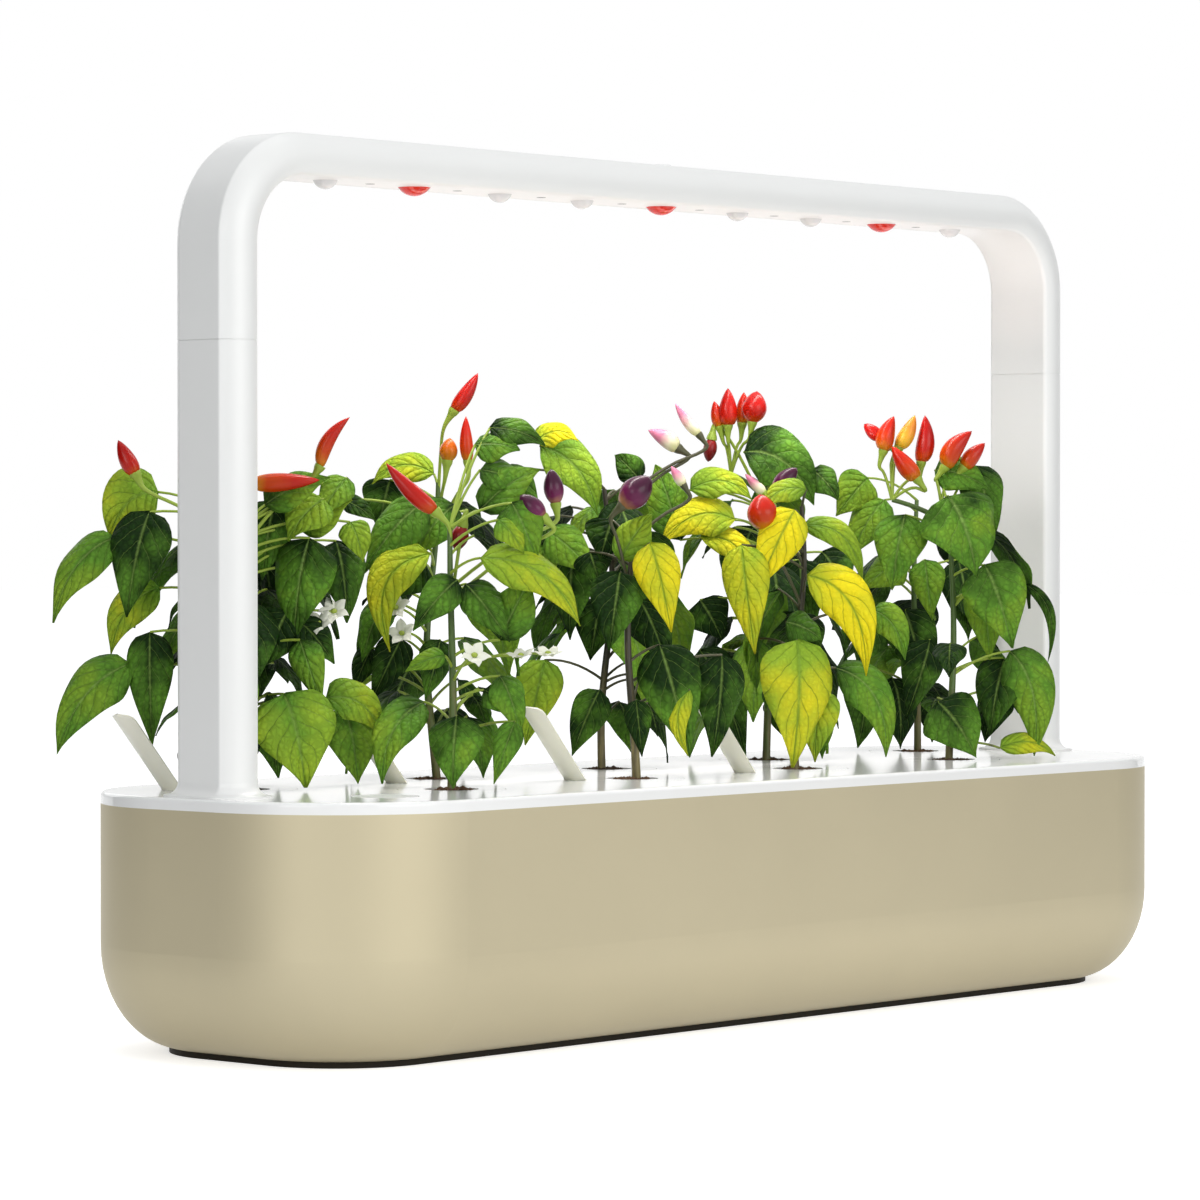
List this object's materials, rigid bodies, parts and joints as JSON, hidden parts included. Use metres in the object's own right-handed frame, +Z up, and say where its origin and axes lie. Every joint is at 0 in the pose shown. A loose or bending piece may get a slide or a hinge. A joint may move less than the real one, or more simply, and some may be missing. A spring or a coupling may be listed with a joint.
{
  "type": "countertop hydroponic garden",
  "caption": "Countertop hydroponic garden: a long rounded water tank, a lid of lift-out planted pods with pepper plants, and an arched grow lamp on plug-in arms.",
  "frame": {"origin": "on the table, under the middle of the tank: the middle of the plinth's flat underside", "axes": "+X along the tank, +Y to the back, +Z up"},
  "size_m": [0.607, 0.185, 0.3872],
  "materials": {
    "champagne_plastic": "satin pearl paint",
    "white_gloss": "polished",
    "white_satin": "satin",
    "black_plastic": "matt",
    "black_rubber": "matt",
    "screw_steel": "plated",
    "milky_plastic": "translucent, satin",
    "contact_brass": "plated",
    "wire_sleeve": "satin",
    "board_white": "solder mask",
    "aluminium_bar": "extruded",
    "red_lens": "polished, translucent",
    "clear_lens": "polished",
    "growing_soil": "coarse",
    "leaf_green": "waxy leaf",
    "pepper_skin": "shiny skin"
  },
  "bodies": {
    "tank": {"tank_shell": "champagne_plastic", "base_plinth": "black_plastic", "rubber_feet": "black_rubber", "base_screws": "screw_steel"},
    "lid": {"lid": "white_gloss", "float_guide": "white_satin", "plant_markers": "milky_plastic"},
    "float": {"water_float": "white_satin"},
    "arms": {"extension_arm_left": "white_satin", "extension_arm_right": "white_satin", "dc_inlet": "black_plastic", "arm_contacts": "contact_brass", "arm_wires": "wire_sleeve"},
    "lamp": {"lamp_shell": "white_satin", "lamp_cover": "white_satin", "cover_screws": "screw_steel", "heat_bar": "aluminium_bar", "led_board": "board_white", "lenses_red": "red_lens", "lenses_clear": "clear_lens", "lamp_wires": "wire_sleeve", "lamp_contacts": "contact_brass", "button_switch": "black_plastic"},
    "button": {"power_button": "white_gloss"},
    "pod_front_1": {"pod_cup_front_1": "white_gloss", "soil_plug_front_1": "growing_soil", "plant_front_1": "leaf_green", "peppers_front_1": "pepper_skin"},
    "pod_front_2": {"pod_cup_front_2": "white_gloss", "soil_plug_front_2": "growing_soil", "plant_front_2": "leaf_green", "peppers_front_2": "pepper_skin"},
    "pod_front_3": {"pod_cup_front_3": "white_gloss", "soil_plug_front_3": "growing_soil", "plant_front_3": "leaf_green", "peppers_front_3": "pepper_skin"},
    "pod_front_4": {"pod_cup_front_4": "white_gloss", "soil_plug_front_4": "growing_soil", "plant_front_4": "leaf_green", "peppers_front_4": "pepper_skin"},
    "pod_back_1": {"pod_cup_back_1": "white_gloss", "soil_plug_back_1": "growing_soil", "plant_back_1": "leaf_green", "peppers_back_1": "pepper_skin"},
    "pod_back_2": {"pod_cup_back_2": "white_gloss", "soil_plug_back_2": "growing_soil", "plant_back_2": "leaf_green", "peppers_back_2": "pepper_skin"},
    "pod_back_3": {"pod_cup_back_3": "white_gloss", "soil_plug_back_3": "growing_soil", "plant_back_3": "leaf_green", "peppers_back_3": "pepper_skin"},
    "pod_back_4": {"pod_cup_back_4": "white_gloss", "soil_plug_back_4": "growing_soil", "plant_back_4": "leaf_green", "peppers_back_4": "pepper_skin"},
    "pod_back_5": {"pod_cup_back_5": "white_gloss", "soil_plug_back_5": "growing_soil", "plant_back_5": "leaf_green"}
  },
  "joints": [
    {"name": "lid_lift", "type": "slide", "parent": "tank", "child": "lid", "axis": [0, 0, 1], "range_m": [0, 0.06]},
    {"name": "arms_lift", "type": "slide", "parent": "lid", "child": "arms", "axis": [0, 0, 1], "range_m": [0, 0.024]},
    {"name": "lamp_lift", "type": "slide", "parent": "arms", "child": "lamp", "axis": [0, 0, 1], "range_m": [0, 0.025]},
    {"name": "float_travel", "type": "slide", "parent": "lid", "child": "float", "axis": [0, 0, 1], "range_m": [-0.03, 0]},
    {"name": "button_press", "type": "slide", "parent": "lamp", "child": "button", "axis": [0, 0, -1], "range_m": [0, 0.001], "stiffness_N_per_m": 600},
    {"name": "pod_front_1_lift", "type": "slide", "parent": "lid", "child": "pod_front_1", "axis": [0, 0, 1], "range_m": [0, 0.062]},
    {"name": "pod_front_2_lift", "type": "slide", "parent": "lid", "child": "pod_front_2", "axis": [0, 0, 1], "range_m": [0, 0.062]},
    {"name": "pod_front_3_lift", "type": "slide", "parent": "lid", "child": "pod_front_3", "axis": [0, 0, 1], "range_m": [0, 0.062]},
    {"name": "pod_front_4_lift", "type": "slide", "parent": "lid", "child": "pod_front_4", "axis": [0, 0, 1], "range_m": [0, 0.062]},
    {"name": "pod_back_1_lift", "type": "slide", "parent": "lid", "child": "pod_back_1", "axis": [0, 0, 1], "range_m": [0, 0.062]},
    {"name": "pod_back_2_lift", "type": "slide", "parent": "lid", "child": "pod_back_2", "axis": [0, 0, 1], "range_m": [0, 0.062]},
    {"name": "pod_back_3_lift", "type": "slide", "parent": "lid", "child": "pod_back_3", "axis": [0, 0, 1], "range_m": [0, 0.062]},
    {"name": "pod_back_4_lift", "type": "slide", "parent": "lid", "child": "pod_back_4", "axis": [0, 0, 1], "range_m": [0, 0.062]},
    {"name": "pod_back_5_lift", "type": "slide", "parent": "lid", "child": "pod_back_5", "axis": [0, 0, 1], "range_m": [0, 0.062]}
  ]
}
